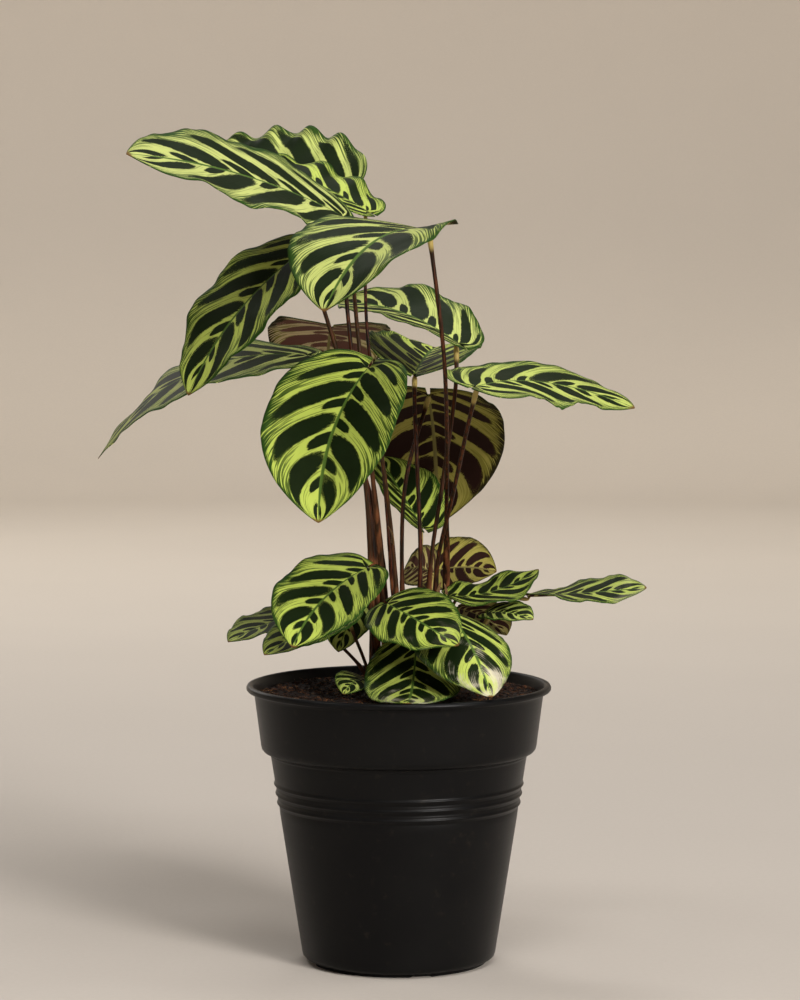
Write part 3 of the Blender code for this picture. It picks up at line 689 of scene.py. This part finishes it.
def makeStalk(place, foot, stops, m, number):
    # radius: the sheath's, then the stalk's, with a bell curve for the knee and a taper into the blade
    look = stalkLook
    shares = np.linspace(0, 1, look["rings"])
    path = stalkPath(place, foot, stops, m, shares)
    gone = np.concatenate([[0], np.cumsum(np.linalg.norm(np.diff(path, axis=0), axis=1))])
    left = gone[-1] - gone
    isLarge = m["length"] > bladeLook["large"]
    scale = 1.0 if isLarge else 0.8
    thin = look["thin"] * scale
    wrap = gone / (gone[-1] * look["sheathShare"])
    inSheath = 1 - smoothRise(wrap, 0.6, 1.0)
    footRadius = look["foot"] if isLarge else look["footSmall"]
    radius = thin + (footRadius - thin) * inSheath * (1 - 0.3 * np.minimum(wrap, 1))
    swell = np.exp(-((left - look["kneeLength"] * 0.62) / (look["kneeLength"] * 0.5)) ** 2)
    radius = radius + (look["knee"] - look["thin"]) * scale * swell
    radius = radius * np.interp(left, [0, 5], [0.3, 1.0])
    rings = tubeRings(path, radius * (1 + 0.12 * inSheath), radius * (1 - 0.12 * inSheath), look["sides"],
                      0.04 + 0.16 * inSheath, number * 1.7 + place[0])
    knee = 1 - smoothRise(left, look["kneeLength"] * 0.7, look["kneeLength"] * 1.3)
    luck = np.full(len(path), (number * 0.37 + place[0] * 0.013) % 1)
    tone = np.stack([inSheath, knee, luck, 0 * knee], -1)
    return closedRings(rings), np.vstack([np.repeat(tone, look["sides"], 0), tone[:1], tone[-1:]])


def makeCollar(place):
    # the lumpy cone at the soil that the stalks come out of
    look = stalkLook
    (low, lowRadius), (high, highRadius) = look["collarFoot"], look["collarTop"]
    height = np.linspace(low, high, look["collarRings"])
    path = np.stack([0 * height + place[0], 0 * height + place[1], height], -1)
    radius = np.interp(height, [low, soilEdge + 3, high], [lowRadius, look["collar"], highRadius])
    skin = closedRings(tubeRings(path, radius, radius * 0.92, look["collarSides"], 0.12, place[0]))
    return skin, np.tile([1.0, 0.0, 0.5, 0.0], (len(skin[0]), 1))


def makeShoot(name, place, stalks, material):
    made = [makeStalk(place, foot, stops, leaves[leafName], number)
            for number, (leafName, (foot, stops)) in enumerate(stalks.items())]
    made.append(makeCollar(place))
    points, faces = joined([skin for skin, tone in made])
    piece = meshPiece(name, points, faces, [material])
    pointColour(piece, "stalkTone", np.vstack([tone for skin, tone in made]))
    return piece


stalkPaint = paints(
    # red and shade are darkened as painted shade of the plant's shaded middle
    red=(78, 37, 19),
    shade=(13, 6, 4),
    olive=(74, 54, 28),
    husk=(122, 74, 44),
    knee=(170, 150, 88),
)
stalkPaint.update(
    rough=0.46, roughSheath=0.22,     # the second comes on top in the sheath
    gleam=0.12,
)


def stalkMaterial():
    # dark streaks along the stalk, partly painted shade of the gaps between stalks, a rougher and lighter
    # sheath, and a yellow knee
    paint = stalkPaint
    made, shader = newMaterial("stalkSkin")
    sheath, knee, luck = attribute("stalkTone")[:3]
    streak = noise(coords((900.0, 900.0, 60.0)), 1.0, 4.0)
    grain = noise(coords(), 900.0)
    blotch = noise(coords((1.0, 1.0, 0.4)), 140.0, 4.0)
    # the dark streak tone is the stalk's own streaks and, where it spreads wide, painted shade between the
    # stalks
    colour = blend(smoothStep(streak, 0.3, 0.6), paint["red"], paint["shade"])
    colour = blend(product(luck, 0.35), colour, paint["olive"])
    colour = blend(product(sheath, smoothStep(blotch, 0.42, 0.66)), colour, paint["husk"])
    colour = blend(smoothStep(knee, 0.1, 0.8), colour, paint["knee"])
    dress(shader, colour, mulAdd(sheath, paint["roughSheath"], paint["rough"]), paint["gleam"])
    grit = product(grain, calc("ADD", sheath, 0.15))
    bump(mulAdd(streak, 0.6, grit), 0.6, 0.0006, shader)
    return made


print("stalks")
stalkSkin = stalkMaterial()
for shootName, (place, stalks) in shoots.items():
    finish(makeShoot(shootName.replace("shoot_", "stalks_"), place, stalks, stalkSkin), "stalk", shootName)


# dry bits: dead sheath tips that cling to the stalks
huskLook = dict(
    thick=0.18,          # half thickness
    rings=14, sides=10,
    bits=[               # start, way it points, length, half width, how far it curls over
        ((-4, -13, 264), (0.2, -0.3, 1), 12, 2.2, -5),
        ((25, -4, 228), (-0.3, -0.3, 1), 13, 1.6, 5),
        ((28, -4, 226), (0.5, -0.4, 1), 15, 1.3, -6),
        ((19, -8, 224), (-0.2, -0.5, 1), 11, 1.5, 4),
        ((-12, -11, 236), (-0.2, -0.3, 1), 14, 1.8, -4),
        ((8, -8, 214), (0.4, -0.5, 1), 12, 1.7, 5),
    ],
)
huskPaint = paints(light=(150, 120, 76), dark=(84, 52, 30))


def makeHusk(start, way, length, half, curl):
    # a strip whose middle bends by curl * t^2 sideways and whose half width is the square root of 1 - t
    t = np.linspace(0, 1, huskLook["rings"])[:, None]
    bend = np.array([1.0, -0.4, 0.0]) * curl
    path = np.array(start, float) + unit(np.array(way, float)) * length * t + bend * t ** 2
    wide = half * np.sqrt(1.02 - t[:, 0])
    return closedRings(tubeRings(path, wide, huskLook["thick"] + 0 * wide, huskLook["sides"], 0.1, length))


def huskMaterial():
    # straw and brown streaks along the strip
    made, shader = newMaterial("dryHusk")
    streak = noise(coords((1400.0, 1400.0, 160.0)), 1.0, 4.0)
    colour = blend(smoothStep(streak, 0.3, 0.7), huskPaint["light"], huskPaint["dark"])
    dress(shader, colour, 0.8, plainGleam)
    bump(streak, 0.7, 0.0005, shader)
    return made


huskPoints, huskFaces = joined([makeHusk(*bit) for bit in huskLook["bits"]])
finish(meshPiece("dry_husks", huskPoints, huskFaces, [huskMaterial()]), "stalk")


# pot: one turned outline with rounded corners
potLook = dict(
    footRadius=60.8,     # of the tapered wall at footTop
    footTop=6.0,
    slope=0.1565,
    ribs=(100.5, 106.5, 112.5),
    levels=((9.0, 96.0, 3.0), (97.2, 116.2, 0.35), (117.0, 129.0, 3.0)),      # from, to and step up the wall
    ribDepth=0.9,
    groove=0.35,         # depth of the shallow groove below each rib
    grooveDrop=2.7,      # and how far below
    drains=4,            # notches in the foot ring
    drainAngle=-75.7,
    notchHalf=5.5,
    notchHeight=1.1,
    footRing=(51, 56),   # the ring's radii
    ringMiddle=54,
    turns=200,
)
# radius and height of the outline's points
potFoot = [(1.0, 0.0), (42.2, 0.0), (42.6, 0.2), (43.6, 1.5), (50.6, 1.5), (51.5, 0.3), (51.8, 0.0),
           (55.2, 0.0), (55.5, 0.3), (55.7, 1.6), (56.6, 2.2), (59.0, 3.0), (60.2, 4.2), (60.8, 6.0)]
potBand = [(80.2, 129.6), (80.3, 130.5), (80.9, 130.9), (81.2, 131.5), (81.0, 132.1), (81.4, 132.6),
           (83.0, 132.9), (84.8, 133.6), (85.9, 135.0), (86.4, 137.2), (86.6, 139.0), (90.2, 166.8),
           (90.4, 168.5), (90.9, 170.4), (92.0, 170.9), (94.6, 171.2), (95.3, 172.0), (95.35, 173.2),
           (94.7, 174.5), (93.2, 175.0), (92.0, 174.8), (91.2, 174.0)]
potInside = [(90.6, 171.5), (88.7, 167.0), (84.6, 136.8), (80.6, 134.2), (78.7, 131.0), (59.4, 7.0),
             (56.0, 3.0), (1.0, 3.0)]


def turnedSkin(outlinePoints, turns):
    # each point of the outline carried round the upright axis: (r cos(a), r sin(a), z)
    line = np.array(outlinePoints, float)
    angle = np.linspace(0, 2 * np.pi, turns, endpoint=False)[None, :]
    radius, level = line[:, :1], line[:, 1:]
    return np.stack([radius * np.cos(angle), radius * np.sin(angle), level + 0 * angle], -1), angle


def makePot(material):
    # wall radius: foot radius + slope * height, plus a bell curve at each rib and a shallow groove below it
    look = potLook
    level = np.concatenate([np.arange(*run) for run in look["levels"]])
    radius = look["footRadius"] + (level - look["footTop"]) * look["slope"]
    for rib in look["ribs"]:
        radius = radius + look["ribDepth"] * np.exp(-((level - rib) / 1.0) ** 2)
        radius = radius - look["groove"] * np.exp(-((level - rib + look["grooveDrop"]) / 0.7) ** 2)
    rings, angle = turnedSkin(potFoot + list(zip(radius, level)) + potBand + potInside, look["turns"])
    step = 360 / look["drains"]
    off = (np.degrees(angle) - look["drainAngle"] + step / 2) % step - step / 2
    ring = np.hypot(rings[..., 0], rings[..., 1])
    inner, outer = look["footRing"]
    isRing = (ring > inner) & (ring < outer) & (rings[..., 2] < 1)
    inNotch = isRing & (np.abs(np.radians(off)) * look["ringMiddle"] < look["notchHalf"])
    rings[..., 2] = np.where(inNotch, look["notchHeight"], rings[..., 2])
    return meshPiece("grower_pot", *closedRings(rings), [material])


potPaint = paints(black=(7, 7, 8), worn=(12, 12, 12), dust=(96, 84, 70))
potPaint.update(
    dustShare=0.08,
    rough=0.27,          # where it is smoothest
    gleam=0.14,
)


def potMaterial():
    # cloudy black plastic with faint turning lines, a little dust and a fine grain
    paint = potPaint
    made, shader = newMaterial("blackPotPlastic")
    where = coords()
    cloud = noise(where, 14.0, 4.0)
    turning = noise(coords((40.0, 40.0, 900.0)), 1.0)
    speck = noise(where, 900.0, 2.0)
    colour = blend(smoothStep(cloud, 0.35, 0.75), paint["black"], paint["worn"])
    dusty = product(smoothStep(noise(where, 160.0, 5.0), 0.60, 0.82), paint["dustShare"])
    colour = blend(dusty, colour, paint["dust"])
    rough = mulAdd(turning, 0.06, mulAdd(cloud, 0.14, paint["rough"]))
    dress(shader, colour, rough, paint["gleam"])
    bump(mulAdd(speck, 0.5, turning), 0.10, 0.0002, shader)
    return made


print("pot")
finish(makePot(potMaterial()), "pot", "pot")


# soil: a lumpy bed, with crumbs, bark chips and fibres on it
soilLook = dict(
    rise=0.9,            # how much the middle stands above the edge
    radius=88.0,
    lump=1.1,            # height of the unevenness
    rings=70, turns=220,
    seed=11,
    below=[(84.2, 137.0), (80.1, 134.0), (78.2, 131.0), (58.8, 7.0), (54.0, 4.0), (1.0, 4.0)],
    spread=87.0,         # how far out the bits lie
    dent=0.28,           # how uneven they are
)
soilBits = dict(
    soil_crumbs=dict(count=2300, sizes=(0.5, 1.9), stretch=(1.0, 1.0, 0.8), seed=3, lift=0.3, paint="peat"),
    bark_chips=dict(count=480, sizes=(1.0, 3.2), stretch=(1.3, 0.7, 0.35), seed=5, lift=0.3, paint="bark"),
    soil_fibres=dict(count=300, sizes=(2.5, 6.5), stretch=(1.3, 0.06, 0.08), seed=8, lift=1.2, paint="bark"),
)


def waveField(x, y, seed, octaves=5, size=28.0):
    # sum of sine products, each octave turned, 1.9 times as fine and 1.6 times as low as the one before
    total = 0
    draw = np.random.default_rng(seed)
    for k in range(octaves):
        turn, shiftX, shiftY = draw.uniform(0, 2 * np.pi, 3)
        u = (x * np.cos(turn) + y * np.sin(turn)) * 2 * np.pi * 1.9 ** k / size
        v = (y * np.cos(turn) - x * np.sin(turn)) * 2 * np.pi * 1.9 ** k / size
        total = total + np.sin(u + shiftX + 1.3 * np.sin(v)) * np.cos(v + shiftY) / 1.6 ** k
    return total


def soilHeight(x, y):
    # edge + rise * (1 - (r / radius)^2) + lumps
    look = soilLook
    level = soilEdge + look["rise"] * np.clip(1 - (np.hypot(x, y) / look["radius"]) ** 2, 0, 1)
    return level + np.clip(waveField(x, y, look["seed"]) * 0.5 * look["lump"] - 0.45, -3, 0.25)


def makeSoilBed(material):
    # rings out to the wall at the soil's own height, then down along the pot's inside
    look = soilLook
    out = np.linspace(1.2, look["radius"], look["rings"])
    rings, angle = turnedSkin([(r, soilEdge) for r in out] + look["below"], look["turns"])
    top = rings[:look["rings"]]
    top[..., 2] = soilHeight(top[..., 0], top[..., 1])
    return meshPiece("soil_bed", *closedRings(rings), [material])


def unitLump():
    # a ball of 20 triangles on the corners (0, 1, g), g being the golden ratio
    g = (1 + 5 ** 0.5) / 2
    points = np.array([(-1, g, 0), (1, g, 0), (-1, -g, 0), (1, -g, 0), (0, -1, g), (0, 1, g), (0, -1, -g),
                       (0, 1, -g), (g, 0, -1), (g, 0, 1), (-g, 0, -1), (-g, 0, 1)]) / math.hypot(1, g)
    faces = np.array([(0, 11, 5), (0, 5, 1), (0, 1, 7), (0, 7, 10), (0, 10, 11), (1, 5, 9), (5, 11, 4),
                      (11, 10, 2), (10, 7, 6), (7, 1, 8), (3, 9, 4), (3, 4, 2), (3, 2, 6), (3, 6, 8),
                      (3, 8, 9), (4, 9, 5), (2, 4, 11), (6, 2, 10), (8, 6, 7), (9, 8, 1)])
    return points, faces


def scatter(name, bits, material):
    # copies of one ball: dented, stretched, tilted about y, spun about z and laid on the soil
    count, stretch, dent = bits["count"], bits["stretch"], soilLook["dent"]
    draw = np.random.default_rng(bits["seed"])
    ball, faces = unitLump()
    radius = soilLook["spread"] * np.sqrt(draw.uniform(0, 1, count))
    angle = draw.uniform(0, 2 * np.pi, count)
    x, y = radius * np.cos(angle), radius * np.sin(angle)
    size = draw.uniform(*bits["sizes"], count) * draw.uniform(0.6, 1.0, count)
    scale = np.stack([np.full(count, stretch[0]), draw.uniform(0.6, 1.0, count) * stretch[1],
                      draw.uniform(0.5, 1.0, count) * stretch[2]], -1) * size[:, None]
    shape = ball[None] * (1 + draw.uniform(-dent, dent, (count, len(ball), 1))) * scale[:, None]
    spin = draw.uniform(0, 2 * np.pi, (count, 1))
    tilt = draw.normal(0, 0.35, (count, 1))
    tiltedX = shape[..., 0] * np.cos(tilt) + shape[..., 2] * np.sin(tilt)
    tiltedZ = shape[..., 2] * np.cos(tilt) - shape[..., 0] * np.sin(tilt)
    spunX = tiltedX * np.cos(spin) - shape[..., 1] * np.sin(spin)
    spunY = tiltedX * np.sin(spin) + shape[..., 1] * np.cos(spin)
    level = soilHeight(x, y) + np.maximum(scale[:, 2], 0.2) * bits["lift"]
    place = np.stack([spunX + x[:, None], spunY + y[:, None], tiltedZ + level[:, None]], -1)
    inside = np.hypot(place[..., 0], place[..., 1]).max(1) < soilLook["radius"] + 0.2
    place = place[inside]
    every = (faces[None] + (np.arange(len(place)) * len(ball))[:, None, None]).reshape(-1, 3)
    piece = meshPiece(name, place.reshape(-1, 3), [every], [material], smooth=False)
    pointColour(piece, "crumbTone", np.repeat(draw.uniform(0, 1, (len(place), 1)), 4 * len(ball), 0))
    return piece


soilPaint = paints(peat=(36, 23, 16), damp=(18, 12, 9), rust=(92, 55, 32), straw=(160, 122, 78))
soilPaint.update(gleam=0.25)


def soilMaterial(name, *tones):
    # clouds of the first two tones, with specks of the third where the crumb's own number is high
    first, second, third = (soilPaint[tone] for tone in tones)
    made, shader = newMaterial(name)
    where = coords()
    coarse = noise(where, 260.0, 5.0)
    fine = noise(where, 1100.0, 4.0)
    tone = attribute("crumbTone")[0]
    colour = blend(smoothStep(coarse, 0.35, 0.65), first, second)
    spots = product(smoothStep(fine, 0.45, 0.7), smoothStep(tone, 0.3, 0.95))
    colour = blend(spots, colour, third)
    dress(shader, colour, mulAdd(fine, 0.2, 0.75), soilPaint["gleam"])
    bump(calc("ADD", coarse, fine), 0.9, 0.0012, shader)
    return made


print("soil")
soilSkins = dict(peat=soilMaterial("dampPeat", "peat", "damp", "rust"),
                 bark=soilMaterial("barkCrumb", "peat", "rust", "straw"))
finish(makeSoilBed(soilSkins["peat"]), "soil", "soil")
for bitName, bits in soilBits.items():
    finish(scatter(bitName, bits, soilSkins[bits["paint"]]), "soil")


# floor and backdrop: one pale round sweep, far enough out for a camera on any side; its tones are the floor's
# round the pot, the floor's far out painted lighter as painted light where less lamp light falls, and the
# wall's
sweepPaint = paints(near=(192, 184, 175), far=(226, 215, 200), wall=(206, 196, 183))
sweepLook = dict(
    nearEnd=0.35,        # metres from the pot's axis where the near tone begins to turn
    farStart=3.40,       # and where it has become the far one
    wallStart=0.50,      # metres above the floor where the wall's tone is reached
    rings=(400.0, 1200.0, 2400.0),      # rings of points in the level part
    bendStart=3600.0,    # millimetres from the axis where the floor starts to rise
    bendRadius=900.0,
    bendRings=30,
    height=2400.0,
    turns=96,
)


def makeSweep():
    # level floor, then a quarter circle (r sin(a), r - r cos(a)), then an upright wall, turned round the
    # pot's axis and open above
    look = sweepLook
    made, shader = newMaterial("paperSweep")
    where = coords()
    flat = newNode("VectorMath")
    flat.operation = "LENGTH"
    plug(coords((1.0, 1.0, 0.0)), flat.inputs[0])
    # the far tone is painted light: lighter where less lamp light reaches the floor
    outer = smoothStep(flat.outputs["Value"], look["nearEnd"], look["farStart"])
    colour = blend(outer, sweepPaint["near"], sweepPaint["far"])
    colour = blend(smoothStep(parts(where)[2], 0.0, look["wallStart"]), colour, sweepPaint["wall"])
    cloud = noise(where, 2.5)
    fibre = noise(coords((1.0, 1.0, 3.0)), 260.0)
    shade = mulAdd(fibre, 0.12, product(cloud, 0.10))
    colour = blend(shade, colour, darker(sweepPaint["wall"], 0.4))
    dress(shader, colour, 0.9, plainGleam)
    bend = np.linspace(0, np.pi / 2, look["bendRings"])
    out = look["bendStart"] + look["bendRadius"] * np.sin(bend)
    up = look["bendRadius"] * (1 - np.cos(bend))
    line = [(far, 0.0) for far in look["rings"]] + list(zip(out, up)) + [(out[-1], look["height"])]
    points, (quads, fans) = closedRings(turnedSkin(line, look["turns"])[0])
    meshPiece("paper_sweep", points[:-1], [quads, fans[:look["turns"]]], [made], closed=False)


lightLook = dict(        # metres: where it is, where it aims, its width; then its power, tint and spread
    keyLight=((1.85, -2.65, 1.5), (0, 0, 0.25), 1.0, 33, (1.0, 0.97, 0.94), 100),
    fillLight=((-2.2, -2.0, 1.2), (0, 0, 0.3), 2.0, 5, (0.98, 0.98, 1.0)),
    topLight=((0.3, -0.9, 2.3), (0, 0, 0.3), 1.0, 16),
    rearLight=((-1.3, 2.6, 1.7), (0, 0, 0.25), 1.6, 10),
)
wallLook = dict(
    powers={0: 52, 90: 36, 180: 34, 270: 36},      # by the way that each faces, which is also its place
    out=1.7, up=2.9,     # where each is
    reach=4.1,           # how far out it aims at the floor
    size=1.0,
)


def softLight(name, spot, target, size, power, tint=(1.0, 0.98, 0.96), spread=180):
    light = bpy.data.lights.new(name, "AREA")
    light.spread = math.radians(spread)
    light.shape = "DISK"
    light.size = size
    light.energy = power
    light.color = tint
    lamp = bpy.data.objects.new(name, light)
    lamp.location = spot
    lamp.rotation_euler = (Vector(target) - Vector(spot)).to_track_quat("-Z", "Y").to_euler()
    bpy.context.scene.collection.objects.link(lamp)


def makeAir(tint, strength):
    world = bpy.data.worlds.new("studioAir")
    world.use_nodes = True
    glow = world.node_tree.nodes["Background"]
    glow.inputs[0].default_value = (*tint, 1.0)
    glow.inputs[1].default_value = strength
    bpy.context.scene.world = world


print("studio")
makeSweep()
for lightName, row in lightLook.items():
    softLight(lightName, *row)
for degrees, power in wallLook["powers"].items():      # these light only the backdrop
    turn = math.radians(degrees)
    way = np.array([math.sin(turn), math.cos(turn)])
    softLight(f"wallLight{degrees}", (*(wallLook["out"] * way), wallLook["up"]),
              (*(wallLook["reach"] * way), 0.0), wallLook["size"], power)
makeAir(tint=fromSrgb(226, 218, 206), strength=0.06)

# the photo's view: level with the lower leaves, tilted a little down at the pot
cameraLook = dict(
    away=2.2,            # metres in front of the pot's axis
    height=0.468,
    tilt=4.62,
    focal=127.44,        # for a frame whose long side is 36 mm
    shift=0.0012,
)
camera = bpy.data.cameras.new("photoCamera")
camera.sensor_width = 36
camera.lens = cameraLook["focal"]
camera.shift_x = cameraLook["shift"]
camera.clip_end = 50
cameraPiece = bpy.data.objects.new("photoCamera", camera)
cameraPiece.location = (0, -cameraLook["away"], cameraLook["height"])
cameraPiece.rotation_euler = (math.radians(90 - cameraLook["tilt"]), 0, 0)
bpy.context.scene.collection.objects.link(cameraPiece)
bpy.context.scene.camera = cameraPiece
bpy.context.scene.view_settings.view_transform = "Standard"

print("done")
